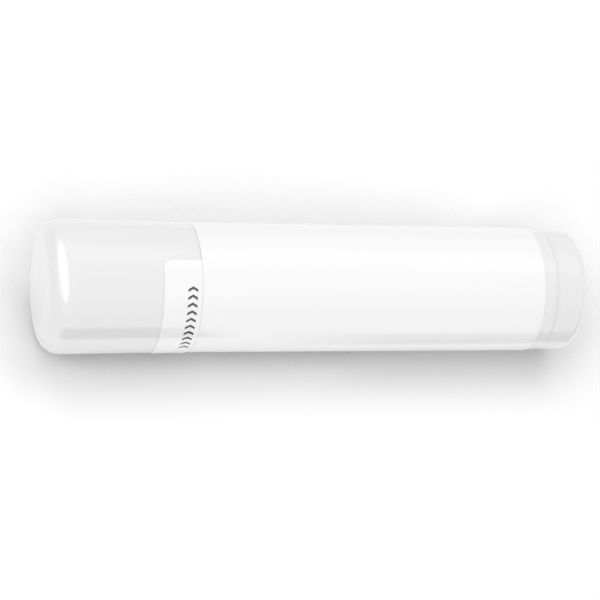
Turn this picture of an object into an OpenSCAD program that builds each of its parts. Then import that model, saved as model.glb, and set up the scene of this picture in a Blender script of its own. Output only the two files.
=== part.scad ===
// Lip balm stick, closed and lying on its side.
// A twist-up tube: the knob turns a long screw, the screw lifts a cup inside the
// barrel, and the cup carries the balm out of the neck. The cap pushes on over the neck.
// The axis runs along X, with the cap at -X and the knob at +X, and the stick rests on z = 0.
// Every piece is drawn standing on its knob, from z = 0 at the knob's end face, and then laid down.

/* [Overall] */
// Length of the closed stick, from the knob's end face to the cap's end face
stick_len = 68.4; // [64:0.1:76]
// Length of the cap, from its rim to its closed end
cap_len = 18.25; // [17:0.05:20]
// Length of the knob that shows below the barrel
knob_len = 4.25; // [3.5:0.05:7]
// Gap between the knob and the foot of the barrel
knob_gap = 0.2; // [0.1:0.05:0.4]

/* [Barrel] */
// Radius of the bore that the balm slides in
bore_r = 6.1; // [5.8:0.05:7]
// Wall of the barrel at its foot
barrel_wall = 1.55; // [1.2:0.05:1.9]
// How much wider the barrel is at its shoulder than at its foot
barrel_draft = 0.14; // [0:0.02:0.2]
// Rounding of the barrel's lower edge
foot_round = 0.15; // [0.1:0.05:0.6]
// Thickness of the web that closes the barrel's foot
floor_t = 1.2; // [0.8:0.1:2]
// Wall of the neck that the cap pushes onto
neck_wall = 0.85; // [0.7:0.05:1]
// Headroom between the neck's mouth and the inside of the cap's end
headroom = 2.85; // [2.2:0.05:4]
// Rounding of the two edges of the mouth
mouth_round = 0.3; // [0.1:0.05:0.35]
// Height of the snap bead around the neck
bead_h = 0.07; // [0.04:0.01:0.08]
// Width of the snap bead
bead_w = 0.9; // [0.6:0.1:1.4]
// Distance from the shoulder to the middle of the snap bead
bead_place = 2.4; // [1.5:0.1:4]
// Height of the ribs in the bore that keep the cup from turning
rib_h = 0.35; // [0.25:0.05:0.45]
// Width of those ribs
rib_w = 0.8; // [0.5:0.1:1.2]
// Distance from the mouth down to the top of the ribs
rib_stop = 1.5; // [0.6:0.1:4]

/* [Cap] */
// Wall of the cap at its rim
cap_wall = 0.87; // [0.7:0.01:1.1]
// How much wider the cap is at its closed end than at its rim
cap_draft = 0.24; // [0.18:0.02:0.4]
// Rounding of the cap's closed end
cap_round = 2.4; // [1:0.1:2.8]
// Thickness of the cap's closed end
cap_end_t = 1.2; // [0.9:0.05:1.5]
// Rounding inside the closed end
cap_in_round = 1.6; // [0.6:0.1:1.8]
// Clearance between the neck and the cap around it
cap_fit = 0.1; // [0.09:0.01:0.14]
// Chamfer at the mouth of the cap
cap_lead_in = 0.2; // [0.1:0.05:0.3]
// Rounding of the cap's outer rim edge
cap_rim_round = 0.12; // [0.05:0.01:0.2]

/* [Turning screw] */
// How far the knob's side is set in from the barrel's foot
knob_inset = 0.05; // [0:0.05:0.3]
// Rounding of the knob's end
knob_round = 1.4; // [0.6:0.1:1.8]
// Rounding of the knob's edge at the barrel
knob_lip_round = 0.15; // [0.1:0.05:0.5]
// Thickness of the knob's wall
knob_wall = 1.1; // [0.8:0.1:1.4]
// Thickness of the knob's end
knob_end_t = 1.3; // [1.1:0.1:1.8]
// Radius of the hub inside the knob
hub_r = 3.6; // [3.2:0.1:4.5]
// Radius of the shallow recess in the knob's end face
recess_r = 4.2; // [3:0.1:5]
// Depth of that recess
recess_d = 0.35; // [0.2:0.05:0.6]
// Radius of the moulding gate mark in the recess
gate_r = 0.6; // [0.4:0.1:1]
// Height of the gate mark
gate_h = 0.15; // [0.05:0.05:0.2]
// Radius of the screw's core
core_r = 1.5; // [1.2:0.05:1.7]
// Height of the thread above the core
thread_h = 0.9; // [0.6:0.05:1]
// Width of the thread at its root
thread_root_w = 2.4; // [1.8:0.1:2.6]
// Width of the thread at its crest
thread_crest_w = 1.4; // [0.8:0.1:1.6]
// How far the cup rises in one turn of the knob
lead = 4.5; // [4.2:0.1:5]
// How much thicker the journal in the barrel's floor is than the thread
journal_step = 0.1; // [0.05:0.05:0.3]
// Running clearance of the journal in the barrel's floor
journal_fit = 0.05; // [0.03:0.01:0.1]
// How far the snap collar stands over the edge of the hole in the floor
collar_grip = 0.25; // [0.15:0.05:0.35]
// Height of the snap collar
collar_h = 0.9; // [0.6:0.1:1.4]
// Running gap between the floor and the snap collar above it
collar_gap = 0.1; // [0.05:0.05:0.2]
// Distance from the screw's tip down from the mouth of the barrel
tip_below_mouth = 3.2; // [2.5:0.1:5]

/* [Elevator cup] */
// Clearance between the cup and the bore
cup_fit = 0.1; // [0.06:0.01:0.12]
// Height of the cup
cup_h = 7; // [6:0.1:9]
// Wall of the cup
cup_wall = 0.75; // [0.7:0.05:1]
// Thickness of the cup's floor
cup_floor_t = 1.1; // [0.8:0.1:1.6]
// Gap between the snap collar and the cup when the balm is fully down
cup_gap = 0.3; // [0.2:0.05:0.6]
// Wall of the nut in the middle of the cup
nut_wall = 0.8; // [0.6:0.1:1.1]
// Height of the nut
nut_h = 5.6; // [5.2:0.1:5.8]
// Clearance between the screw's thread and the nut
thread_fit = 0.15; // [0.12:0.01:0.25]
// Play along the axis between the two threads
thread_play = 0.2; // [0.12:0.02:0.3]
// Clearance of the cup's slots around the ribs in the bore
slot_fit = 0.12; // [0.08:0.02:0.16]
// Height of the fins on the cup's floor that key the balm
fin_h = 2.4; // [1:0.1:4]
// Thickness of the fins
fin_t = 0.6; // [0.4:0.1:1]

/* [Balm] */
// Clearance between the balm and the bore
balm_fit = 0.15; // [0.1:0.01:0.25]
// How far the balm's edge stands above the mouth
balm_above_mouth = 0.4; // [0.1:0.1:0.8]
// Height of the balm's low dome over its edge
balm_dome = 0.9; // [0.5:0.1:1]
// Gap that the cast balm leaves by shrinking, at the cup and at the screw
shrink_gap = 0.05; // [0.02:0.01:0.1]

/* [Label and seal tab] */
// Thickness of the label film
label_t = 0.15; // [0.08:0.01:0.2]
// Bare strip of barrel between the foot and the label
label_foot_gap = 1.54; // [0.5:0.02:4]
// Bare strip between the label and the shoulder
label_top_gap = 0.15; // [0.1:0.05:0.4]
// Gap of the label's butt seam
seam_w = 0.5; // [0.3:0.1:1]
// Where the seam is, in degrees around the stick from its top
seam_deg = 150; // [100:5:200]
// Distance that the seal tab reaches up the cap
tab_reach = 4.6; // [3:0.1:8]
// Cut between the tab and the cap's rim edge
tab_gap = 0.15; // [0.1:0.05:0.4]
// Where the tab starts, in degrees around the stick from its top
tab_start_deg = -11; // [-40:1:0]
// How far the tab runs round the stick, in degrees
tab_arc_deg = 115; // [60:5:150]
// Rounding of the tab's two free corners
tab_corner_r = 1.2; // [0.4:0.1:1.4]

/* [Hidden] */

// Ribs, fins and facets that are counted
rib_count = 2;
fin_count = 4;
arc_steps = 12;
turn_steps = 18;
round_fn = 96;
// Shares: the least height of a thread's end, and how many facets the end takes to rise
thread_end_share = 0.3;
fade_steps = 4;
// Shares: how much of the collar's height is straight, and how much of its core the screw's tip tapers by
collar_land_share = 0.35;
tip_share = 0.35;
// Turns of thread inside the nut
nut_turns = 0.5;
// How far cuts run past what they cut, and how far joined shapes sink into each other
overrun = 1;
sink = 0.2;

// Heights, from the knob's end face
foot_z = knob_len + knob_gap;
floor_z = foot_z + floor_t;
shoulder_z = stick_len - cap_len;
mouth_z = stick_len - cap_end_t - headroom;
collar_z = floor_z + collar_gap;
cup_z = collar_z + collar_h + cup_gap;
tip_z = mouth_z - tip_below_mouth;
balm_edge_z = mouth_z + balm_above_mouth;
label_z = foot_z + label_foot_gap;
label_top_z = shoulder_z - label_top_gap;

// Radii
foot_r = bore_r + barrel_wall;
shoulder_r = foot_r + barrel_draft;
knob_r = foot_r - knob_inset;
neck_r = bore_r + neck_wall;
cap_bore_r = neck_r + cap_fit;
cap_rim_r = cap_bore_r + cap_wall;
cap_big_r = cap_rim_r + cap_draft;
crest_r = core_r + thread_h;
journal_r = crest_r + journal_step;
floor_bore_r = journal_r + journal_fit;
collar_r = floor_bore_r + collar_grip;
nut_bore_r = crest_r + thread_fit;
nut_r = nut_bore_r + nut_wall;
cup_r = bore_r - cup_fit;
cup_in_r = cup_r - cup_wall;
balm_r = bore_r - balm_fit;
rest_r = max(cap_big_r, shoulder_r + label_t);

// Radius of the barrel's or the cap's tapered outside at a height
function barrel_r_at(z) = foot_r + barrel_draft * (z - foot_z) / (shoulder_z - foot_z);
function cap_r_at(z) = cap_rim_r + cap_draft * (z - shoulder_z) / (cap_len - cap_round);

// Points of an arc about a centre
function arc(centre, r, from, to) = [
    for (i = [0:arc_steps])
        let (a = from + (to - from) * i / arc_steps)
            centre + r * [cos(a), sin(a)]
];

// Lays the standing stick down along X, so that it rests on z = 0
module laid() {
    translate([stick_len / 2, 0, rest_r])
        rotate([0, -90, 0])
            children();
}

// A left-handed helical ridge. It is base_w wide at base_r and crest_w wide at crest,
// its middle starts at height z at the angle start, and both ends fade down to the base.
module helix_ridge(base_r, crest, base_w, crest_w, z, start, turns) {
    n = ceil(turns * turn_steps);
    function rise(i) = min(1, thread_end_share + (1 - thread_end_share) * min(i, n - i) / fade_steps);
    function ring(i) =
        let (
            a = start - 360 * i / turn_steps,
            h = z + lead * i / turn_steps,
            top = base_r + (crest - base_r) * rise(i),
            top_w = base_w + (crest_w - base_w) * rise(i),
            out = [cos(a), sin(a)]
        )
        [
            [base_r * out.x, base_r * out.y, h - base_w / 2],
            [top * out.x, top * out.y, h - top_w / 2],
            [top * out.x, top * out.y, h + top_w / 2],
            [base_r * out.x, base_r * out.y, h + base_w / 2]
        ];
    points = [for (i = [0:n]) each ring(i)];
    sides = [
        for (i = [0:n - 1], k = [0:3])
            let (p = 4 * i + k, q = 4 * i + (k + 1) % 4)
                each [[p, q + 4, q], [p, p + 4, q + 4]]
    ];
    ends = [
        [0, 2, 3], [0, 1, 2],
        [4 * n, 4 * n + 2, 4 * n + 1], [4 * n, 4 * n + 3, 4 * n + 2]
    ];
    outward = concat(sides, ends);
    inward = [for (f = outward) [f[0], f[2], f[1]]];
    polyhedron(points = points, faces = crest > base_r ? outward : inward);
}

// Bars that run along the bore at the ribs' places, from radius r_in out to r_out
module bore_bars(w, r_in, r_out, z_from, z_to) {
    for (i = [0:rib_count - 1])
        rotate([0, 0, 360 * i / rib_count])
            translate([r_in, -w / 2, z_from])
                cube([r_out - r_in, w, z_to - z_from]);
}

// The barrel is one moulding: a tapered tube with a closed foot, a necked-down mouth
// with a snap bead, and two ribs along its bore
module barrel() {
    bead_z = shoulder_z + bead_place;
    profile = concat(
        [[floor_bore_r, foot_z]],
        arc([foot_r - foot_round, foot_z + foot_round], foot_round, -90, 0),
        [
            [shoulder_r, shoulder_z],
            [neck_r, shoulder_z],
            [neck_r, bead_z - bead_w / 2],
            [neck_r + bead_h, bead_z],
            [neck_r, bead_z + bead_w / 2]
        ],
        arc([neck_r - mouth_round, mouth_z - mouth_round], mouth_round, 0, 90),
        arc([bore_r + mouth_round, mouth_z - mouth_round], mouth_round, 90, 180),
        [[bore_r, floor_z], [floor_bore_r, floor_z]]
    );
    color("whitesmoke")
        laid()
            union() {
                rotate_extrude($fn = round_fn)
                    polygon(profile);
                bore_bars(rib_w, bore_r - rib_h, bore_r + sink, floor_z - sink, mouth_z - rib_stop);
            }
}

// The label is a film wrapped round the barrel, with its two ends meeting at a butt seam
module label() {
    seam_arc = 360 * seam_w / (2 * PI * shoulder_r);
    profile = [
        [barrel_r_at(label_z), label_z],
        [barrel_r_at(label_z) + label_t, label_z],
        [barrel_r_at(label_top_z) + label_t, label_top_z],
        [barrel_r_at(label_top_z), label_top_z]
    ];
    color("white")
        laid()
            rotate([0, 0, seam_deg + seam_arc / 2])
                rotate_extrude(angle = 360 - seam_arc, $fn = round_fn)
                    polygon(profile);
}

// The turning screw is one moulding: the knob, the journal that runs in the barrel's
// floor, the collar that snaps in above the floor, and the screw up the middle
module turning_screw() {
    collar_top_z = collar_z + collar_h;
    thread_z = collar_top_z + thread_root_w / 2;
    thread_turns = (tip_z - thread_root_w / 2 - sink - thread_z) / lead;
    knob_in_r = knob_r - knob_wall;
    profile = concat(
        [
            [0, recess_d - gate_h],
            [gate_r, recess_d - gate_h],
            [gate_r, recess_d],
            [recess_r, recess_d],
            [recess_r, 0]
        ],
        arc([knob_r - knob_round, knob_round], knob_round, -90, 0),
        arc([knob_r - knob_lip_round, knob_len - knob_lip_round], knob_lip_round, 0, 90),
        [
            [knob_in_r, knob_len],
            [knob_in_r, knob_end_t],
            [hub_r, knob_end_t],
            [hub_r, knob_len],
            [journal_r, knob_len],
            [journal_r, collar_z],
            [collar_r, collar_z],
            [collar_r, collar_z + collar_h * collar_land_share],
            [journal_r, collar_top_z],
            [core_r, collar_top_z],
            [core_r, tip_z - core_r * tip_share],
            [core_r * (1 - tip_share), tip_z],
            [0, tip_z]
        ]
    );
    color("gainsboro")
        laid()
            union() {
                rotate_extrude($fn = round_fn)
                    polygon(profile);
                helix_ridge(core_r - sink, crest_r, thread_root_w, thread_crest_w,
                    thread_z, 0, thread_turns);
            }
}

// The elevator cup holds the foot of the balm. Its nut runs on the screw, its slots
// ride on the barrel's ribs, and its fins key the balm that is cast into it.
module elevator_cup() {
    groove_root_w = lead - thread_root_w - 2 * thread_play;
    groove_mouth_w = lead - thread_crest_w - 2 * thread_play;
    // The nut's ridge lies half a lead from the screw's, at the middle of the nut
    nut_ridge_z = cup_z + (nut_h - nut_turns * lead) / 2;
    thread_z = collar_z + collar_h + thread_root_w / 2;
    nut_start = -360 * (nut_ridge_z - thread_z - lead / 2) / lead;
    profile = [
        [nut_bore_r, cup_z],
        [cup_r, cup_z],
        [cup_r, cup_z + cup_h],
        [cup_in_r, cup_z + cup_h],
        [cup_in_r, cup_z + cup_floor_t],
        [nut_r, cup_z + cup_floor_t],
        [nut_r, cup_z + nut_h],
        [nut_bore_r, cup_z + nut_h]
    ];
    color("gainsboro")
        laid()
            difference() {
                union() {
                    rotate_extrude($fn = round_fn)
                        polygon(profile);
                    fins(0);
                    helix_ridge(nut_bore_r + sink, core_r + thread_fit, groove_mouth_w,
                        groove_root_w, nut_ridge_z, nut_start, nut_turns);
                }
                bore_bars(rib_w + 2 * slot_fit, bore_r - rib_h - slot_fit, bore_r + overrun,
                    cup_z - overrun, cup_z + cup_h + overrun);
            }
}

// The cup's fins, which stand on its floor between the nut and the wall, with a gap around them
module fins(gap) {
    for (i = [0:fin_count - 1])
        rotate([0, 0, 360 * (i + 1 / 2) / fin_count])
            translate([nut_r - sink, -fin_t / 2 - gap, cup_z + cup_floor_t - sink])
                cube([cup_in_r - nut_r + 2 * sink, fin_t + 2 * gap, fin_h + sink + gap]);
}

// The balm is cast round the screw, with its foot in the cup and a low dome above the mouth
module balm() {
    balm_core_r = nut_bore_r + shrink_gap;
    nut_top_z = cup_z + nut_h + shrink_gap;
    cup_top_z = cup_z + cup_h + shrink_gap;
    dome = [
        for (i = [0:arc_steps])
            let (a = 90 * i / arc_steps)
                [balm_r * cos(a), balm_edge_z + balm_dome * sin(a)]
    ];
    profile = concat(
        [
            [nut_r + shrink_gap, cup_z + cup_floor_t],
            [cup_in_r - shrink_gap, cup_z + cup_floor_t],
            [cup_in_r - shrink_gap, cup_top_z],
            [balm_r, cup_top_z]
        ],
        dome,
        [
            [0, tip_z + thread_fit],
            [balm_core_r, tip_z + thread_fit],
            [balm_core_r, nut_top_z],
            [nut_r + shrink_gap, nut_top_z]
        ]
    );
    color("ivory")
        laid()
            difference() {
                rotate_extrude($fn = round_fn)
                    polygon(profile);
                fins(shrink_gap);
                bore_bars(rib_w + 2 * slot_fit, bore_r - rib_h - slot_fit, bore_r + overrun,
                    cup_z - overrun, balm_edge_z + balm_dome + overrun);
            }
}

// The cap is one moulding: a tapered thimble with a snap groove that takes the neck's bead
module cap() {
    bead_z = shoulder_z + bead_place;
    inside_z = stick_len - cap_end_t;
    profile = concat(
        [[cap_bore_r + cap_lead_in, shoulder_z]],
        arc([cap_rim_r - cap_rim_round, shoulder_z + cap_rim_round], cap_rim_round, -90, 0),
        arc([cap_big_r - cap_round, stick_len - cap_round], cap_round, 0, 90),
        [[0, stick_len], [0, inside_z]],
        arc([cap_bore_r - cap_in_round, inside_z - cap_in_round], cap_in_round, 90, 0),
        [
            [cap_bore_r, bead_z + bead_w / 2],
            [cap_bore_r + bead_h, bead_z],
            [cap_bore_r, bead_z - bead_w / 2],
            [cap_bore_r, shoulder_z + cap_lead_in]
        ]
    );
    color("whitesmoke")
        laid()
            rotate_extrude($fn = round_fn)
                polygon(profile);
}

// What is cut off a tab's corner to round it. The corner is the tab's highest point at
// the angle deg, and side is 1 where the tab runs on below that angle, or else -1.
module corner_cut(deg, side) {
    tab_top_z = shoulder_z + tab_gap + tab_reach;
    in_deg = side * 360 * tab_corner_r / (2 * PI * (cap_r_at(tab_top_z) + label_t));
    rotate([0, 0, deg - in_deg])
        translate([cap_bore_r, 0, tab_top_z - tab_corner_r])
            rotate([0, 90, 0])
                linear_extrude(cap_wall + cap_draft + label_t + overrun)
                    difference() {
                        translate([-tab_corner_r - overrun, side > 0 ? 0 : -tab_corner_r - overrun])
                            square([tab_corner_r + overrun, tab_corner_r + overrun]);
                        circle(r = tab_corner_r, $fn = round_fn);
                    }
}

// The seal tab is the label's tear-off tongue, stuck on the cap beside its rim
module seal_tab() {
    z0 = shoulder_z + tab_gap;
    z1 = z0 + tab_reach;
    end_deg = tab_start_deg - tab_arc_deg;
    profile = [
        [cap_r_at(z0), z0],
        [cap_r_at(z0) + label_t, z0],
        [cap_r_at(z1) + label_t, z1],
        [cap_r_at(z1), z1]
    ];
    color("white")
        laid()
            difference() {
                rotate([0, 0, end_deg])
                    rotate_extrude(angle = tab_arc_deg, $fn = round_fn)
                        polygon(profile);
                corner_cut(tab_start_deg, 1);
                corner_cut(end_deg, -1);
            }
}

barrel();
label();
turning_screw();
elevator_cup();
balm();
cap();
seal_tab();
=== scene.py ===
from math import atan2, cos, pi, radians, sin, sqrt

import bmesh
import bpy
from mathutils import Matrix, Vector


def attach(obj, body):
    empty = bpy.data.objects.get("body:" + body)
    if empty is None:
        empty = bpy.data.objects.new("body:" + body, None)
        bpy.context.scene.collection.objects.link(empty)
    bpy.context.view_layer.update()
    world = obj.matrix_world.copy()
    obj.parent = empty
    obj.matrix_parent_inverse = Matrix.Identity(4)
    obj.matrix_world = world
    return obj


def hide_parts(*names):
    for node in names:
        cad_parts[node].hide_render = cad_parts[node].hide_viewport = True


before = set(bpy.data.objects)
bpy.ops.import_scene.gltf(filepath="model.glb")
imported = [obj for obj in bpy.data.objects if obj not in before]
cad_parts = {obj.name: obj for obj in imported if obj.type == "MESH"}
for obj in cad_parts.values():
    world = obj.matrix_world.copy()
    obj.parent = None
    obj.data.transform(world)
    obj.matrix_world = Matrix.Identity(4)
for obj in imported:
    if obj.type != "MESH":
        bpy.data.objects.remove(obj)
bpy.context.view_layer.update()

# ---------------------------------------------------------------- barrel
# The tube that everything sits in: one polypropylene moulding with a closed foot, a
# necked-down mouth with a snap bead for the cap, and two ribs along its bore. It is the
# first piece on the bench, and the label is wrapped round it before the balm is poured.

mm = 0.001
stick_length = 68.4
knob_face_x = stick_length / 2
axis_height = 8.16
foot_height, floor_height = 4.27, 5.65
shoulder_height, mouth_height = 50.15, 64.35
foot_radius, shoulder_radius, neck_radius, bore_radius = 7.65, 7.79, 6.95, 6.1
hole_radius, foot_face_radius = 2.55, 5.2
foot_rounding, shoulder_rounding = 0.03, 0.02
neck_root_rounding, mouth_rounding = 0.15, 0.3
side_rings = (10, 20, 30, 40)
bead_place, bead_half_width, bead_height = 52.55, 0.45, 0.07
bead_rings = (-0.7, -0.4, 0, 0.4, 0.7)
rib_depth, rib_half_angle, rib_top, rib_top_chamfer = 0.35, radians(3.8), 62.85, 0.3
points_round = 192
radius_slack = 0.001
plastic_white, plastic_flow = (0.87, 0.87, 0.87, 1), (0.85, 0.85, 0.852, 1)


def laid(height, radius, turn):
    """The point of the lying stick at a height from the knob's face, turned from the top."""
    x = (knob_face_x - height) * mm
    return x, radius * sin(turn) * mm, (axis_height + radius * cos(turn)) * mm


def arc(height, radius, rounding, start, stop, steps=8):
    """Profile points (height, radius) round a corner. 0 degrees points outwards and 90
    towards the cap."""
    turns = [radians(start + (stop - start) * i / steps) for i in range(steps + 1)]
    return [(height + rounding * sin(t), radius + rounding * cos(t)) for t in turns]


def finished(name, points, faces, sharp_degrees=38, weld=1e-7):
    """Makes a closed mesh with its faces outwards, smooth but for its real edges."""
    mesh = bpy.data.meshes.new(name)
    mesh.from_pydata(points, [], faces)
    shape = bmesh.new()
    shape.from_mesh(mesh)
    bmesh.ops.remove_doubles(shape, verts=shape.verts, dist=weld)
    bmesh.ops.recalc_face_normals(shape, faces=shape.faces)
    shape.to_mesh(mesh)
    shape.free()
    mesh.shade_smooth()
    mesh.set_sharp_from_angle(angle=radians(sharp_degrees))
    piece = bpy.data.objects.new(name, mesh)
    bpy.context.scene.collection.objects.link(piece)
    return piece


def turned(name, profile, hollow=True, change=None, steps=points_round):
    """Turns a profile round the stick's axis. A solid one starts and ends on the axis, and
    change may move a profile point at an angle."""
    points, rings = [], []
    for height, radius in profile:
        if radius == 0:
            rings.append([len(points)] * steps)
            points.append(laid(height, 0, 0))
            continue
        rings.append(list(range(len(points), len(points) + steps)))
        for k in range(steps):
            turn = 2 * pi * k / steps
            spot = change(height, radius, turn) if change else (height, radius)
            points.append(laid(*spot, turn))
    if hollow:
        rings.append(rings[0])
    faces = []
    for lower, upper in zip(rings, rings[1:]):
        for k in range(steps):
            n = (k + 1) % steps
            corners = list(dict.fromkeys((lower[k], lower[n], upper[n], upper[k])))
            if len(corners) > 2:
                faces.append(corners)
    return finished(name, points, faces)


def barrel_radius(height):
    """The barrel's slight taper, from the foot up to the shoulder."""
    share = (height - foot_height) / (shoulder_height - foot_height)
    return foot_radius + (shoulder_radius - foot_radius) * share


def near_rib(turn, half_angle=rib_half_angle):
    """Whether an angle lies on one of the two ribs, at the top and at the bottom."""
    return any(abs(atan2(sin(turn - rib), cos(turn - rib))) < half_angle for rib in (0, pi))


def with_ribs(height, radius, turn):
    """Raises the ribs from the bore."""
    inside = floor_height <= height <= rib_top - rib_top_chamfer
    if inside and abs(radius - bore_radius) < radius_slack and near_rib(turn):
        radius -= rib_depth
    return height, radius


barrel_profile = (
    [(foot_height, hole_radius), (foot_height, foot_face_radius)]
    + arc(foot_height + foot_rounding, foot_radius - foot_rounding, foot_rounding, -90, 0)
    + [(height, barrel_radius(height)) for height in side_rings]
    + arc(
        shoulder_height - shoulder_rounding, shoulder_radius - shoulder_rounding,
        shoulder_rounding, 0, 90, steps=4,
    )
    + arc(
        shoulder_height + neck_root_rounding, neck_radius + neck_root_rounding,
        neck_root_rounding, -90, -180, steps=4,
    )
    + [(bead_place - bead_half_width, neck_radius)]
    + [
        (bead_place + bead_half_width * s, neck_radius + bead_height * (1 - s * s))
        for s in bead_rings
    ]
    + [(bead_place + bead_half_width, neck_radius)]
    + arc(mouth_height - mouth_rounding, neck_radius - mouth_rounding, mouth_rounding, 0, 90)
    + arc(mouth_height - mouth_rounding, bore_radius + mouth_rounding, mouth_rounding, 90, 180)
    + [(rib_top, bore_radius), (rib_top - rib_top_chamfer, bore_radius)]
    + [(floor_height, bore_radius), (floor_height, hole_radius)]
)
barrel_tube = turned("barrel_tube", barrel_profile, change=with_ribs)


def put(tree, socket, source):
    """Feeds a node's socket from another socket, or sets it to a plain value."""
    if isinstance(source, bpy.types.NodeSocket):
        tree.links.new(source, socket)
    else:
        socket.default_value = source


def add_node(tree, kind, settings=None, **sources):
    """Puts a node in a tree, with settings as its properties and what feeds its sockets."""
    node = tree.nodes.new(kind)
    for key, value in (settings or {}).items():
        setattr(node, key, value)
    for key, source in sources.items():
        put(tree, node.inputs[key.replace("_", " ")], source)
    return node


def range_node(tree, driver, low=0, high=1, start=0, stop=1):
    """Takes a socket's range from low to high to a range from start to stop."""
    node = add_node(
        tree, "ShaderNodeMapRange",
        Value=driver, From_Min=low, From_Max=high, To_Min=start, To_Max=stop,
    )
    return node.outputs["Result"]


def mixed(tree, share, first, second):
    """A colour between two others, by a share."""
    mix = add_node(tree, "ShaderNodeMix", {"data_type": "RGBA"})
    sockets = {socket.identifier: socket for socket in (*mix.inputs, *mix.outputs)}
    put(tree, sockets["Factor_Float"], share)
    put(tree, sockets["A_Color"], first)
    put(tree, sockets["B_Color"], second)
    return sockets["Result_Color"]


def relief_node(tree, height, depth, strength):
    """The normal of a surface whose relief follows a socket."""
    bump = add_node(tree, "ShaderNodeBump", Height=height, Distance=depth, Strength=strength)
    return bump.outputs["Normal"]


def new_skin(name, inputs):
    """A shader node group with named inputs (kind, value), which puts out the colour, the
    roughness and the normal of a surface."""
    tree = bpy.data.node_groups.new(name, "ShaderNodeTree")
    for label, (kind, value) in inputs.items():
        socket = tree.interface.new_socket(label, in_out="INPUT", socket_type=kind)
        socket.default_value = value
    for label, kind in (("Colour", "Color"), ("Roughness", "Float"), ("Normal", "Vector")):
        tree.interface.new_socket(label, in_out="OUTPUT", socket_type="NodeSocket" + kind)
    return tree, tree.nodes.new("NodeGroupInput").outputs, tree.nodes.new("NodeGroupOutput").inputs


def build_moulded_skin():
    """The skin of a moulding: faint flow marks in its tone, a fine grain, and light scuffs
    that run round it where fingers turn it."""
    tree, start, end = new_skin("moulded_skin", {
        "Colour": ("NodeSocketColor", (0.8, 0.8, 0.8, 1)),
        "Flow colour": ("NodeSocketColor", (0.8, 0.8, 0.8, 1)),
        "Flow scale": ("NodeSocketFloat", 90),
        "Grain scale": ("NodeSocketFloat", 4200),
        "Grain depth": ("NodeSocketFloat", 0.000002),
        "Gloss": ("NodeSocketFloat", 0.2),
        "Scuffed": ("NodeSocketFloat", 0.32),
        "Scuff scale": ("NodeSocketFloat", 900),
    })
    place = add_node(tree, "ShaderNodeTexCoord").outputs["Object"]
    flow = add_node(
        tree, "ShaderNodeTexNoise",
        Vector=place, Scale=start["Flow scale"], Detail=3, Roughness=0.45,
    )
    tone = mixed(tree, flow.outputs["Fac"], start["Colour"], start["Flow colour"])
    put(tree, end["Colour"], tone)
    stretched = add_node(tree, "ShaderNodeMapping", Vector=place, Scale=(6, 1, 1))
    scuffs = add_node(
        tree, "ShaderNodeTexNoise",
        Vector=stretched.outputs["Vector"], Scale=start["Scuff scale"],
        Detail=6, Roughness=0.7, Distortion=0.6,
    )
    dulled = range_node(
        tree, scuffs.outputs["Fac"],
        low=0.55, high=0.8, start=start["Gloss"], stop=start["Scuffed"],
    )
    put(tree, end["Roughness"], dulled)
    grain = add_node(
        tree, "ShaderNodeTexNoise", Vector=place, Scale=start["Grain scale"], Detail=2
    )
    relief = relief_node(tree, grain.outputs["Fac"], start["Grain depth"], strength=0.5)
    put(tree, end["Normal"], relief)
    return tree


moulded_skin = build_moulded_skin()


def skinned_material(name, skin, finish, **values):
    """A material whose colour, roughness and relief come from a skin group, with the plain
    numbers of its finish on the shader's own sockets."""
    material = bpy.data.materials.new(name)
    material.use_nodes = True
    tree = material.node_tree
    shader = tree.nodes["Principled BSDF"]
    for label, value in finish.items():
        shader.inputs[label].default_value = value
    group = add_node(tree, "ShaderNodeGroup", {"node_tree": skin}, **values)
    taken = {"Colour": "Base Color", "Roughness": "Roughness", "Normal": "Normal"}
    for label, socket in taken.items():
        put(tree, shader.inputs[socket], group.outputs[label])
    return material


polypropylene = {
    "IOR": 1.5,
    "Specular IOR Level": 1.0,
    "Coat Weight": 1.0,
    "Coat Roughness": 0.1,
    "Subsurface Weight": 0.25,
    "Subsurface Radius": (1, 1, 0.98),
    "Subsurface Scale": 0.001,
}
barrel_plastic = skinned_material(
    "barrel_plastic", moulded_skin, polypropylene,
    Colour=plastic_white, Flow_colour=plastic_flow, Gloss=0.2, Scuffed=0.34,
)


def fit(piece, material, body, slot, *nodes):
    """Gives a piece its material and its body, and hides the nodes it stands for. The slot is
    not used."""
    piece.data.materials.clear()
    piece.data.materials.append(material)
    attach(piece, body)
    if nodes:
        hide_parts(*nodes)


fit(barrel_tube, barrel_plastic, "barrel", "white_plastic", "barrel")

# ---------------------------------------------------------------- label
# A plain white plastic film wrapped round the barrel and stuck to it, from just above the
# foot up to the cap's rim. Its two ends meet at a butt seam on the side that faces away.

film_thickness, film_edge, film_gap = 0.15, 0.02, 0.004
label_low, label_high = 5.99, 50.145
seam_turn, seam_half_width = radians(150), 0.25
seam_half = seam_half_width / shoulder_radius
film_white, film_cloud = (0.965, 0.965, 0.965, 1), (0.955, 0.955, 0.956, 1)


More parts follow.
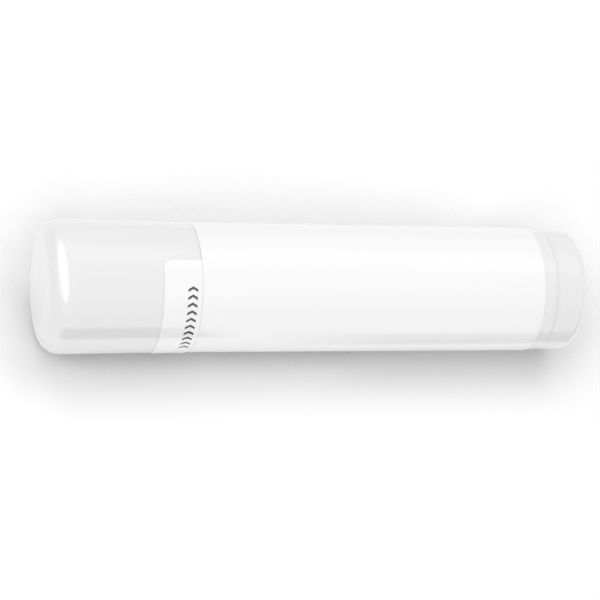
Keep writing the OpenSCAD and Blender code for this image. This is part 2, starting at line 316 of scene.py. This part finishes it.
def wrapped(name, start, stop, low, high, radius_at, lift_at, steps, rows, eased_rows):
    """A film wrapped from one angle to another. low and high give its edges at an angle and
    lift_at its thickness at a height. Its free edges are eased, as a cut film's are."""
    points, index = [], {}
    for layer in (0, 1):
        for k in range(steps + 1):
            turn = start + (stop - start) * k / steps
            bottom, top = low(turn), high(turn)
            for i in range(rows + 1):
                height = bottom + (top - bottom) * i / rows
                edge = i in eased_rows or k in (0, steps)
                lift = lift_at(height) - (film_edge if edge else 0)
                index[layer, k, i] = len(points)
                points.append(laid(height, radius_at(height) + (lift if layer else film_gap), turn))
    faces = []
    for layer in (0, 1):
        for k in range(steps):
            for i in range(rows):
                corners = ((k, i), (k + 1, i), (k + 1, i + 1), (k, i + 1))
                faces.append([index[layer, a, b] for a, b in corners])
    rim = [(k, 0) for k in range(steps)] + [(steps, i) for i in range(rows)]
    rim += [(k, rows) for k in range(steps, 0, -1)] + [(0, i) for i in range(rows, 0, -1)]
    for here, after in zip(rim, rim[1:] + rim[:1]):
        faces.append([index[0, *here], index[0, *after], index[1, *after], index[1, *here]])
    return finished(name, points, faces)


label_wrap = wrapped(
    "label_wrap",
    seam_turn + seam_half,
    seam_turn + 2 * pi - seam_half,
    lambda turn: label_low,
    lambda turn: label_high,
    barrel_radius,
    lambda height: film_thickness,
    steps=240,
    rows=40,
    eased_rows=(0,),
)


def build_film_skin():
    """The face of a glossy film: an even white with a faint cloudiness, and a slow ripple
    where it is stuck down."""
    tree, start, end = new_skin("film_skin", {
        "Colour": ("NodeSocketColor", (0.9, 0.9, 0.9, 1)),
        "Cloud colour": ("NodeSocketColor", (0.9, 0.9, 0.9, 1)),
        "Ripple scale": ("NodeSocketFloat", 160),
        "Ripple depth": ("NodeSocketFloat", 0.00001),
        "Smooth": ("NodeSocketFloat", 0.16),
        "Dull": ("NodeSocketFloat", 0.24),
    })
    place = add_node(tree, "ShaderNodeTexCoord").outputs["Object"]
    cloud = add_node(
        tree, "ShaderNodeTexNoise", Vector=place, Scale=700, Detail=4, Roughness=0.6
    ).outputs["Fac"]
    put(tree, end["Colour"], mixed(tree, cloud, start["Colour"], start["Cloud colour"]))
    dulled = range_node(tree, cloud, start=start["Smooth"], stop=start["Dull"])
    put(tree, end["Roughness"], dulled)
    ripple = add_node(
        tree, "ShaderNodeTexNoise", Vector=place, Scale=start["Ripple scale"], Detail=1
    )
    relief = relief_node(tree, ripple.outputs["Fac"], start["Ripple depth"], strength=0.3)
    put(tree, end["Normal"], relief)
    return tree


film_skin = build_film_skin()
gloss_film = {
    "IOR": 1.5,
    "Specular IOR Level": 1.0,
    "Coat Weight": 1.0,
    "Coat Roughness": 0.08,
}
label_film = skinned_material(
    "label_film", film_skin, gloss_film, Colour=film_white, Cloud_colour=film_cloud
)
fit(label_wrap, label_film, "barrel", "label_film", "label")

# ---------------------------------------------------------------- knob and screw
# One moulding: the knob that fingers turn, the journal and snap collar that hold it in
# the barrel's floor, and the long left-handed screw up the middle of the balm.

knob_height, knob_radius, knob_rounding, knob_lip = 4.25, 7.6, 1.4, 0.03
knob_inner_radius, knob_end_thickness, hub_radius = 6.5, 1.3, 3.6
recess_radius, recess_depth, recess_rounding = 4.2, 0.35, 0.1
gate_radius, gate_rise, gate_rounding = 0.6, 0.15, 0.05
journal_radius, collar_low, collar_high, collar_radius = 2.5, 5.75, 6.65, 2.8
collar_edge = 0.3
core_radius, tip_height, tip_chamfer = 1.5, 61.15, 0.5
thread_height, thread_root, thread_crest, thread_lead = 0.9, 2.4, 1.4, 4.5
thread_sunk = 0.2
thread_start = collar_high + thread_root / 2
thread_length = tip_height - thread_root / 2 - thread_sunk - thread_start
knob_white, knob_flow = (0.855, 0.855, 0.855, 1), (0.835, 0.835, 0.837, 1)

gate_face = recess_depth - gate_rise
knob_profile = (
    [(gate_face, 0)]
    + arc(gate_face + gate_rounding, gate_radius - gate_rounding, gate_rounding, -90, 0, steps=3)
    + [(recess_depth, gate_radius), (recess_depth, recess_radius - recess_rounding)]
    + [(recess_depth, recess_radius)]
    + arc(recess_rounding, recess_radius + recess_rounding, recess_rounding, -180, -90, steps=4)
    + arc(knob_rounding, knob_radius - knob_rounding, knob_rounding, -90, 0, steps=14)
    + arc(knob_height - knob_lip, knob_radius - knob_lip, knob_lip, 0, 90)
    + [(knob_height, knob_inner_radius), (knob_end_thickness, knob_inner_radius)]
    + [(knob_end_thickness, hub_radius), (knob_height, hub_radius)]
    + [(knob_height, journal_radius), (collar_low, journal_radius)]
    + [(collar_low, collar_radius), (collar_low + collar_edge, collar_radius)]
    + [(collar_high, journal_radius), (collar_high, core_radius)]
    + [(tip_height - tip_chamfer, core_radius), (tip_height, core_radius - tip_chamfer)]
    + [(tip_height, 0)]
)
knob_moulding = turned("knob_moulding", knob_profile, hollow=False)


def new_nodes_tree(name, inputs):
    """A geometry node tree with named inputs (kind, value) and one geometry output."""
    tree = bpy.data.node_groups.new(name, "GeometryNodeTree")
    for label, (kind, value) in inputs.items():
        socket = tree.interface.new_socket(label, in_out="INPUT", socket_type=kind)
        if value is not None:
            socket.default_value = value
    tree.interface.new_socket("Geometry", in_out="OUTPUT", socket_type="NodeSocketGeometry")
    return tree, tree.nodes.new("NodeGroupInput").outputs, tree.nodes.new("NodeGroupOutput").inputs


def sum_node(tree, operation, *terms):
    """The result of a math node whose terms are sockets or plain numbers."""
    node = add_node(tree, "ShaderNodeMath", {"operation": operation})
    for socket, term in zip(node.inputs, terms):
        put(tree, socket, term)
    return node.outputs["Value"]


def joined(tree, x, y, z):
    """A vector from three sockets or plain numbers."""
    return add_node(tree, "ShaderNodeCombineXYZ", X=x, Y=y, Z=z).outputs["Vector"]


def coated(tree, geometry, finish):
    """Gives a tree's geometry its material, as the last thing in the tree."""
    return add_node(
        tree, "GeometryNodeSetMaterial", Geometry=geometry, Material=finish
    ).outputs["Geometry"]


def grown(name, tree, material, **values):
    """Runs a geometry node tree with its inputs set, and keeps the plain mesh it makes."""
    seed = bpy.data.objects.new(name + "_seed", bpy.data.meshes.new(name + "_seed"))
    bpy.context.scene.collection.objects.link(seed)
    maker = seed.modifiers.new("grow", "NODES")
    maker.node_group = tree
    sockets = {
        item.name: item.identifier
        for item in tree.interface.items_tree
        if item.item_type == "SOCKET" and item.in_out == "INPUT"
    }
    for label, value in values.items():
        maker[sockets[label.replace("_", " ")]] = value
    maker[sockets["Finish"]] = material
    bpy.context.view_layer.update()
    ready = seed.evaluated_get(bpy.context.evaluated_depsgraph_get())
    mesh = bpy.data.meshes.new_from_object(ready)
    mesh.name = name
    bpy.data.objects.remove(seed)
    piece = bpy.data.objects.new(name, mesh)
    bpy.context.scene.collection.objects.link(piece)
    return piece


def build_thread_tree():
    """A trapezoid ridge swept along a helix on the screw's core, tapered at both ends."""
    tree, start, end = new_nodes_tree("screw_thread", {
        "Core radius": ("NodeSocketFloat", 0.0015),
        "Turns": ("NodeSocketFloat", 10),
        "Length": ("NodeSocketFloat", 0.05),
        "Height": ("NodeSocketFloat", 0.001),
        "Root width": ("NodeSocketFloat", 0.0024),
        "Crest width": ("NodeSocketFloat", 0.0014),
        "Start": ("NodeSocketVector", (0, 0, 0)),
        "Finish": ("NodeSocketMaterial", None),
    })
    helix = add_node(
        tree, "GeometryNodeCurveSpiral",
        Resolution=48, Rotations=start["Turns"], Start_Radius=start["Core radius"],
        End_Radius=start["Core radius"], Height=start["Length"], Reverse=True,
    )
    upright = add_node(
        tree, "GeometryNodeSetCurveNormal", {"mode": "Z_UP"}, Curve=helix.outputs["Curve"]
    )
    along = add_node(tree, "GeometryNodeSplineParameter").outputs["Factor"]
    from_end = sum_node(tree, "MINIMUM", along, sum_node(tree, "SUBTRACT", 1, along))
    ridge = add_node(
        tree, "GeometryNodeCurvePrimitiveQuadrilateral", {"mode": "TRAPEZOID"},
        Bottom_Width=start["Root width"], Top_Width=start["Crest width"],
        Height=start["Height"], Offset=0,
    )
    half_height = sum_node(tree, "MULTIPLY", start["Height"], 0.5)
    standing = add_node(
        tree, "GeometryNodeTransform",
        Geometry=ridge.outputs["Curve"], Translation=joined(tree, 0, half_height, 0),
    )
    sweep = add_node(
        tree, "GeometryNodeCurveToMesh",
        Curve=upright.outputs["Curve"], Profile_Curve=standing.outputs["Geometry"],
        Scale=range_node(tree, from_end, high=0.02, start=0.3), Fill_Caps=True,
    )
    lying = add_node(
        tree, "GeometryNodeTransform",
        Geometry=sweep.outputs["Mesh"], Translation=start["Start"], Rotation=(0, -pi / 2, 0),
    )
    real = add_node(tree, "GeometryNodeRealizeInstances", Geometry=lying.outputs["Geometry"])
    put(tree, end["Geometry"], coated(tree, real.outputs["Geometry"], start["Finish"]))
    return tree


knob_plastic = skinned_material(
    "knob_plastic", moulded_skin, polypropylene,
    Colour=knob_white, Flow_colour=knob_flow, Gloss=0.2, Scuffed=0.4, Scuff_scale=700,
)
screw_thread = grown(
    "screw_thread",
    build_thread_tree(),
    knob_plastic,
    Core_radius=(core_radius - thread_sunk) * mm,
    Turns=thread_length / thread_lead,
    Length=thread_length * mm,
    Height=(thread_height + thread_sunk) * mm,
    Root_width=thread_root * mm,
    Crest_width=thread_crest * mm,
    Start=laid(thread_start, 0, 0),
)
fit(knob_moulding, knob_plastic, "knob", "knob_plastic", "turning_screw")
fit(screw_thread, knob_plastic, "knob", "knob_plastic")

# ---------------------------------------------------------------- elevator cup
# The cup that lifts the balm: one moulding whose nut runs on the screw, with slots for
# the barrel's ribs and fins that key the balm. It never shows, so its solid stays.

cup_white, cup_flow = (0.9, 0.9, 0.9, 1), (0.87, 0.87, 0.872, 1)
cup_plastic = skinned_material(
    "cup_plastic", moulded_skin, polypropylene,
    Colour=cup_white, Flow_colour=cup_flow, Gloss=0.25, Scuffed=0.4,
)
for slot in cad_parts["elevator_cup"].material_slots:
    slot.material = cup_plastic

# ---------------------------------------------------------------- balm
# The wax stick, poured hot into the barrel round the screw. It has a low dome that shows
# when the cap is off, and a groove along each side where the barrel's ribs run.

balm_radius, balm_low, balm_edge, balm_dome = 5.95, 14.0, 64.75, 0.9
balm_core_radius, balm_core_top = 2.6, 61.3
balm_groove, groove_half_angle = 0.32, radians(4.9)
balm_rings = (20, 28, 36, 44, 52, 60)
dome_step = 5
balm_cream, balm_mottle = (0.86, 0.8, 0.62, 1), (0.9, 0.85, 0.7, 1)


def with_grooves(height, radius, turn):
    """Sinks the grooves into the balm's side."""
    if abs(radius - balm_radius) < radius_slack and near_rib(turn, groove_half_angle):
        radius -= balm_groove
    return height, radius


balm_profile = (
    [(balm_core_top, 0), (balm_core_top, balm_core_radius)]
    + [(balm_low, balm_core_radius), (balm_low, balm_radius)]
    + [(height, balm_radius) for height in balm_rings]
    + [
        (balm_edge + balm_dome * sin(radians(a)), balm_radius * cos(radians(a)))
        for a in range(0, 90, dome_step)
    ]
    + [(balm_edge + balm_dome, 0)]
)
balm_stick = turned("balm_stick", balm_profile, hollow=False, change=with_grooves)


def build_wax_skin():
    """Poured wax: soft mottling, tiny pits where it cooled, and a satin skin."""
    tree, start, end = new_skin("wax_skin", {
        "Colour": ("NodeSocketColor", (0.85, 0.8, 0.6, 1)),
        "Mottle": ("NodeSocketColor", (0.9, 0.86, 0.7, 1)),
        "Pit depth": ("NodeSocketFloat", 0.00003),
    })
    place = add_node(tree, "ShaderNodeTexCoord").outputs["Object"]
    mottle = add_node(
        tree, "ShaderNodeTexNoise", Vector=place, Scale=260, Detail=5, Roughness=0.6
    ).outputs["Fac"]
    put(tree, end["Colour"], mixed(tree, mottle, start["Colour"], start["Mottle"]))
    put(tree, end["Roughness"], range_node(tree, mottle, start=0.38, stop=0.58))
    pits = add_node(tree, "ShaderNodeTexVoronoi", Vector=place, Scale=900).outputs["Distance"]
    hollows = range_node(tree, pits, high=0.35)
    put(tree, end["Normal"], relief_node(tree, hollows, start["Pit depth"], strength=0.4))
    return tree


soft_wax = {
    "IOR": 1.45,
    "Specular IOR Level": 0.4,
    "Subsurface Weight": 0.4,
    "Subsurface Radius": (1, 0.8, 0.5),
    "Subsurface Scale": 0.001,
}
balm_wax = skinned_material(
    "balm_wax", build_wax_skin(), soft_wax, Colour=balm_cream, Mottle=balm_mottle
)
fit(balm_stick, balm_wax, "elevator", "balm_wax", "balm")

# ---------------------------------------------------------------- cap
# A thimble moulded in the same white plastic, with a well-rounded closed end. It pushes
# on over the neck and holds by a shallow groove that takes the neck's bead.

cap_rim_radius, cap_big_radius, cap_bore_radius = 7.92, 8.16, 7.05
cap_rounding, cap_inner_rounding, cap_end_thickness = 2.4, 1.6, 1.2
cap_rim_taper, cap_rim_height, cap_lead_in, cap_gap = 0.04, 0.06, 0.2, 0.01
cap_rim_rings, cap_side_rings = (0, 0.15, 0.35, 0.6, 1), (54, 58, 62)
cap_face_ring = 3
cap_side_length = stick_length - cap_rounding - shoulder_height
cap_inside = stick_length - cap_end_thickness


def cap_radius(height):
    """The cap's slight taper, from the rim up to the rounding of its closed end."""
    share = (height - shoulder_height) / cap_side_length
    return cap_rim_radius + (cap_big_radius - cap_rim_radius) * share


cap_profile = (
    [(shoulder_height + cap_gap, cap_bore_radius + cap_lead_in)]
    + [
        (
            shoulder_height + cap_gap + cap_rim_height * s,
            cap_rim_radius - cap_rim_taper * (1 - s) ** 2,
        )
        for s in cap_rim_rings
    ]
    + [(height, cap_radius(height)) for height in cap_side_rings]
    + arc(stick_length - cap_rounding, cap_big_radius - cap_rounding, cap_rounding, 0, 90, steps=20)
    + [(stick_length, cap_face_ring), (stick_length, 0)]
)
cap_inner = (
    [(cap_inside, 0)]
    + arc(
        cap_inside - cap_inner_rounding, cap_bore_radius - cap_inner_rounding,
        cap_inner_rounding, 90, 0, steps=10,
    )
    + [(bead_place + bead_half_width, cap_bore_radius)]
    + [(bead_place, cap_bore_radius + bead_height)]
    + [(bead_place - bead_half_width, cap_bore_radius)]
    + [(shoulder_height + cap_lead_in, cap_bore_radius)]
)
cap_shell = turned("cap_shell", cap_profile[::-1] + cap_inner[::-1], hollow=False)
cap_plastic = skinned_material(
    "cap_plastic", moulded_skin, polypropylene,
    Colour=plastic_white, Flow_colour=plastic_flow, Gloss=0.18, Scuffed=0.3,
)
fit(cap_shell, cap_plastic, "cap", "white_plastic", "cap")

# ---------------------------------------------------------------- seal tab
# The label's tear-off tongue, cut from the same film and stuck on the cap's side. It
# hangs on the label by a row of tiny ties until the cap is first pulled off. A row of
# arrowheads is printed round it beside the ties.

tab_low, tab_high, tab_thickness = 50.16, 54.9, 0.1
tab_middle, tab_half = radians(-68.5), radians(57.5)
tab_start, tab_stop = tab_middle + tab_half, tab_middle - tab_half
tab_corner = 1.2
tab_step_thinning, tab_step_length = 0.07, 0.9
tie_pitch, tie_share, slit_width = 1.29, 0.25, 0.015
tab_rows = 36


def tab_top(turn):
    """The tab's free edge, with its two corners rounded."""
    from_side = min(tab_start - turn, turn - tab_stop) * cap_big_radius
    inward = max(0, tab_corner - max(0, from_side))
    return tab_high - tab_corner + sqrt(max(0, tab_corner**2 - inward**2))


def tab_lift(height):
    """The tab thins where it steps up from the label on to the cap's rim."""
    to_step = max(0, 1 - (height - tab_low) / tab_step_length)
    return tab_thickness - tab_step_thinning * to_step**2


def tab_torn(turn):
    """The edge along the label: a cut slit, with a narrow tie left standing at each pitch."""
    along = (turn - tab_stop) * cap_rim_radius / tie_pitch
    return tab_low if along % 1 < tie_share else tab_low + slit_width


tab_film = wrapped(
    "tab_film",
    tab_stop,
    tab_start,
    tab_torn,
    tab_top,
    cap_radius,
    tab_lift,
    steps=200,
    rows=tab_rows,
    eased_rows=(tab_rows,),
)
tab_white = skinned_material(
    "tab_white", film_skin, gloss_film, Colour=film_white, Cloud_colour=film_cloud
)
fit(tab_film, tab_white, "cap", "label_film", "seal_tab")

arrow_count, arrow_pitch, arrow_height = 10, 0.97, 51.4
arrow_bar, arrow_span, arrow_depth, arrow_slant = 0.34, 1.2, 0.02, 0.6
arrow_middle = tab_middle + radians(2)
ink_black, ink_thin = (0.012, 0.012, 0.013, 1), (0.03, 0.03, 0.032, 1)


def split(tree, vector):
    """The x, y and z of a vector socket, as sockets."""
    return add_node(tree, "ShaderNodeSeparateXYZ", Vector=vector).outputs


def build_arrow_tree():
    """A row of arrowheads round the tab: one bent bar, repeated and then wrapped."""
    tree, start, end = new_nodes_tree("arrow_row", {
        "Count": ("NodeSocketInt", 10),
        "Pitch": ("NodeSocketFloat", 0.001),
        "Bar": ("NodeSocketVector", (0.0003, 0.0012, 0.00002)),
        "Slant": ("NodeSocketFloat", 0.6),
        "Radius": ("NodeSocketFloat", 0.008),
        "Draft": ("NodeSocketFloat", 0.0),
        "Middle turn": ("NodeSocketFloat", 0.0),
        "Row place": ("NodeSocketVector", (0, 0, 0)),
        "Finish": ("NodeSocketMaterial", None),
    })
    spot = split(tree, add_node(tree, "GeometryNodeInputPosition").outputs["Position"])

    bar = add_node(tree, "GeometryNodeMeshCube", Size=start["Bar"], Vertices_Y=3)
    away = sum_node(tree, "ABSOLUTE", spot["Y"])
    swept_back = sum_node(tree, "MULTIPLY", away, start["Slant"])
    bent_x = sum_node(tree, "SUBTRACT", spot["X"], swept_back)
    arrow = add_node(
        tree, "GeometryNodeSetPosition",
        Geometry=bar.outputs["Mesh"], Position=joined(tree, bent_x, spot["Y"], spot["Z"]),
    )

    gaps = sum_node(tree, "SUBTRACT", start["Count"], 1)
    first_x = sum_node(tree, "MULTIPLY", sum_node(tree, "MULTIPLY", gaps, -0.5), start["Pitch"])
    line = add_node(
        tree, "GeometryNodeMeshLine", {"mode": "OFFSET"},
        Count=start["Count"], Start_Location=joined(tree, first_x, 0, 0),
        Offset=joined(tree, start["Pitch"], 0, 0),
    )
    row = add_node(
        tree, "GeometryNodeInstanceOnPoints",
        Points=line.outputs["Mesh"], Instance=arrow.outputs["Geometry"],
    )
    real = add_node(tree, "GeometryNodeRealizeInstances", Geometry=row.outputs["Instances"])

    round_by = sum_node(tree, "DIVIDE", spot["X"], start["Radius"])
    turn = sum_node(tree, "ADD", round_by, start["Middle turn"])
    on_film = sum_node(tree, "MULTIPLY_ADD", spot["Y"], start["Draft"], start["Radius"])
    radius = sum_node(tree, "ADD", on_film, spot["Z"])
    place = split(tree, start["Row place"])
    wrapped_place = joined(
        tree,
        sum_node(tree, "SUBTRACT", place["X"], spot["Y"]),
        sum_node(tree, "MULTIPLY_ADD", radius, sum_node(tree, "SINE", turn), place["Y"]),
        sum_node(tree, "MULTIPLY_ADD", radius, sum_node(tree, "COSINE", turn), place["Z"]),
    )
    round_tab = add_node(
        tree, "GeometryNodeSetPosition",
        Geometry=real.outputs["Geometry"], Position=wrapped_place,
    )
    put(tree, end["Geometry"], coated(tree, round_tab.outputs["Geometry"], start["Finish"]))
    return tree


arrow_ink = skinned_material(
    "arrow_ink", film_skin, gloss_film, Colour=ink_black, Cloud_colour=ink_thin
)
arrow_row = grown(
    "arrow_row",
    build_arrow_tree(),
    arrow_ink,
    Count=arrow_count,
    Pitch=arrow_pitch * mm,
    Bar=(arrow_bar * mm, arrow_span * mm, arrow_depth * mm),
    Slant=arrow_slant,
    Radius=(cap_radius(arrow_height) + tab_thickness) * mm,
    Draft=(cap_big_radius - cap_rim_radius) / cap_side_length,
    Middle_turn=arrow_middle,
    Row_place=laid(arrow_height, 0, 0),
)
fit(arrow_row, arrow_ink, "cap", "label_film")

# ---------------------------------------------------------------- floor, light and camera
# White paper with a painted shadow: the camera sees it darker by how open each place on it is,
# with a faint camera-only glow where it is clear of the stick. Two grey sheets that only
# reflections see paint a dark reflected band low on the stick. An even white surround, soft lamps
# above, in front and off the cap's end, and the camera where the photograph was taken from.

floor_reach, flag_height = 3.0, 0.0002
shade_reach, shade_samples = 0.06, 8
paper_bounce, paper_glow, flag_end_grey = 0.98, 0.06, 0.95
surround_light, surround_seen = 0.62, 0.34


def sheet(name, material, low, high, height=0, **seen):
    """A flat sheet of the set, which isn't part of the stick, between two corners (x, y),
    and what kinds of ray see it."""
    corners = [(low[0], low[1]), (high[0], low[1]), (high[0], high[1]), (low[0], high[1])]
    mesh = bpy.data.meshes.new(name)
    mesh.from_pydata([(x, y, height) for x, y in corners], [], [(0, 1, 2, 3)])
    piece = bpy.data.objects.new(name, mesh)
    bpy.context.scene.collection.objects.link(piece)
    mesh.materials.append(material)
    for kind, value in seen.items():
        setattr(piece, "visible_" + kind, value)


def shade_node(tree, direction):
    """How open a place on the paper is, looked at in a leaning direction."""
    shade = add_node(
        tree, "ShaderNodeAmbientOcclusion", {"samples": shade_samples},
        Distance=shade_reach, Normal=joined(tree, *direction),
    )
    return shade.outputs["AO"]


def ramp_node(tree, driver, stops):
    """A tone that follows stops (place, grey)."""
    ramp = add_node(tree, "ShaderNodeValToRGB", Fac=driver)
    while len(ramp.color_ramp.elements) < len(stops):
        ramp.color_ramp.elements.new(0.5)
    for stop, (position, grey) in zip(ramp.color_ramp.elements, stops):
        stop.position, stop.color = position, (grey, grey, grey, 1)
    return ramp.outputs["Color"]


def blended(tree, first, second, share):
    """A number between two others, by a share."""
    step = sum_node(tree, "SUBTRACT", second, first)
    return sum_node(tree, "MULTIPLY_ADD", step, share, first)


def build_floor_paper():
    """White paper with a painted shadow. The camera sees it darker where the stick stands over it:
    beside the stick by near and far, and past its two ends by shades that lean towards it."""
    material = bpy.data.materials.new("floor_paper")
    material.use_nodes = True
    tree = material.node_tree
    spot = split(tree, add_node(tree, "ShaderNodeTexCoord").outputs["Object"])
    looked_at = add_node(tree, "ShaderNodeLightPath").outputs["Is Camera Ray"]

    near = shade_node(tree, (0, 0, 1))
    far = shade_node(tree, (0, -0.707, 0.707))
    # Painted shadow: for the camera, the paper is darker where the stick hides more of the sky from
    # it.
    near_painted_shadow = ramp_node(
        tree, near, ((0.2, 0.65), (0.3, 0.77), (0.42, 0.895), (0.52, 0.97), (0.6, 1))
    )
    far_painted_shadow = range_node(tree, far, 0.62, 0.7, 0.9, 1)
    side_painted_shadow = sum_node(tree, "MULTIPLY", near_painted_shadow, far_painted_shadow)
    near_clear, far_clear = range_node(tree, near, 0.7, 0.82), range_node(tree, far, 0.69, 0.76)
    side_clear = sum_node(tree, "MULTIPLY", near_clear, far_clear)

    # Painted shadow past the cap's end.
    off_cap = shade_node(tree, (0.6, -0.4, 0.69))
    cap_painted_shadow = ramp_node(
        tree, off_cap,
        (
            (0.37, 1), (0.45, 0.985), (0.52, 0.945), (0.58, 0.895),
            (0.63, 0.875), (0.68, 0.905), (0.73, 0.945), (0.79, 1),
        ),
    )
    cap_line = sum_node(tree, "MULTIPLY_ADD", spot["Y"], -0.3, spot["X"])
    past_cap = range_node(tree, cap_line, -0.03, -0.033)
    side_painted_shadow = sum_node(tree, "MULTIPLY", side_painted_shadow, blended(tree, 1, cap_painted_shadow, past_cap))

    # Painted shadow past the knob's end.
    off_knob = shade_node(tree, (-0.6, -0.4, 0.69))
    knob_painted_shadow = ramp_node(
        tree, off_knob,
        ((0.55, 0.7), (0.61, 0.76), (0.67, 0.81), (0.74, 0.9), (0.8, 0.95), (0.85, 1)),
    )
    knob_clear = range_node(tree, off_knob, 0.85, 0.91)
    past_knob = range_node(tree, sum_node(tree, "SUBTRACT", spot["X"], spot["Y"]), 0.01, 0.018)

    # tone is the painted shadow the camera sees. The camera-only glow lifts the paper to white
    # where it is clear of the stick.
    tone = blended(tree, side_painted_shadow, knob_painted_shadow, past_knob)
    clear = blended(tree, side_clear, knob_clear, past_knob)
    glow = sum_node(tree, "MULTIPLY", clear, looked_at)
    shader = tree.nodes["Principled BSDF"]
    put(tree, shader.inputs["Base Color"], blended(tree, paper_bounce, tone, looked_at))
    put(tree, shader.inputs["Emission Strength"], sum_node(tree, "MULTIPLY", glow, paper_glow))
    shader.inputs["Roughness"].default_value = 0.9
    shader.inputs["Specular IOR Level"].default_value = 0
    return material


sheet("floor", build_floor_paper(), (-floor_reach, -floor_reach), (floor_reach, floor_reach))


def dark_flag(side, grey, left, right, far, near, soft):
    """A grey sheet in front of the stick that only glossy rays see: a painted reflection that makes
    the dark line low on the stick's side. It fades into the paper's tone at both ends."""
    material = bpy.data.materials.new("shade_flag_" + side)
    material.use_nodes = True
    tree = material.node_tree
    shader = tree.nodes["Principled BSDF"]
    x = split(tree, add_node(tree, "ShaderNodeTexCoord").outputs["Object"])["X"]
    from_left = range_node(tree, x, left, left + soft)
    from_right = range_node(tree, x, right, right - soft)
    middle = sum_node(tree, "MULTIPLY", from_left, from_right)
    depth = sum_node(tree, "MULTIPLY", middle, grey - flag_end_grey)
    put(tree, shader.inputs["Base Color"], sum_node(tree, "ADD", depth, flag_end_grey))
    shader.inputs["Specular IOR Level"].default_value = 0
    sheet(
        "dark_flag_" + side, material, (left, -far), (right, -near), flag_height,
        camera=False, diffuse=False, shadow=False, transmission=False,
    )


# Sheets that paint a dark reflected band on the cap and on the label.
dark_flag("cap", grey=0.2, left=-0.042, right=-0.0075, far=0.036, near=0.0165, soft=0.004)
dark_flag("label", grey=0.4, left=-0.004, right=0.09, far=0.0205, near=0.0105, soft=0.018)

world = bpy.data.worlds.new("surround")
world.use_nodes = True
bpy.context.scene.world = world
surround = world.node_tree
background = surround.nodes["Background"]
rays = add_node(surround, "ShaderNodeLightPath").outputs
seen = sum_node(surround, "MAXIMUM", rays["Is Camera Ray"], rays["Is Glossy Ray"])
seen = sum_node(surround, "MAXIMUM", seen, rays["Is Transmission Ray"])
strength = sum_node(surround, "MULTIPLY_ADD", seen, surround_seen, surround_light)
background.inputs["Color"].default_value = (1, 1, 1, 1)
put(surround, background.inputs["Strength"], strength)

stick_middle = Vector((0, 0, 0.008))


def softbox(name, place, width, depth, radiance, glossy=True, diffuse=True, shape="RECTANGLE"):
    """A soft area light with a given radiance, aimed at the stick."""
    lamp = bpy.data.lights.new(name, "AREA")
    lamp.shape = shape
    lamp.size, lamp.size_y = width, depth
    lamp.energy = radiance * pi * width * depth
    light = bpy.data.objects.new(name, lamp)
    light.location = place
    light.rotation_euler = (stick_middle - Vector(place)).to_track_quat("-Z", "Y").to_euler()
    light.visible_glossy, light.visible_diffuse = glossy, diffuse
    bpy.context.scene.collection.objects.link(light)


softbox("overhead", (0.1, 0.25, 0.65), 0.8, 0.45, 1.15, glossy=False)
softbox("front_fill", (-0.1, -0.6, 0.6), 0.8, 0.35, 1.55, glossy=False)
softbox("left_fill", (-0.55, -0.1, 0.5), 0.5, 1.0, 0.3, glossy=False)
softbox("left_gleam", (-0.46, -0.05, 0.54), 1.9, 0.68, 0.85, diffuse=False, shape="ELLIPSE")
softbox("band", (0.15, 0.25, 0.6), 0.9, 0.35, 0.15)

camera_yaw, camera_tilt, camera_roll = radians(17.334), radians(55), radians(0.32)
camera_distance = 0.3
camera_aim = Vector((-0.0002, 0, axis_height * mm))
yaw_cos, yaw_sin = cos(camera_yaw), sin(camera_yaw)
tilt_cos, tilt_sin = cos(camera_tilt), sin(camera_tilt)
back = Vector((-yaw_sin, -yaw_cos * tilt_cos, yaw_cos * tilt_sin))
right = Vector((yaw_cos, -yaw_sin * tilt_cos, yaw_sin * tilt_sin))
up = back.cross(right)
rolled_right = cos(camera_roll) * right + sin(camera_roll) * up
rolled_up = -sin(camera_roll) * right + cos(camera_roll) * up
facing = Matrix((rolled_right, rolled_up, back)).transposed().to_4x4()
lens = bpy.data.cameras.new("camera")
lens.lens = 144.905
lens.shift_x, lens.shift_y = -0.01622, -0.02025
lens.clip_start, lens.clip_end = 0.01, 20
camera = bpy.data.objects.new("camera", lens)
camera.matrix_world = Matrix.Translation(camera_aim + back * camera_distance) @ facing
bpy.context.scene.collection.objects.link(camera)
bpy.context.scene.camera = camera
bpy.context.scene.view_settings.view_transform = "Standard"
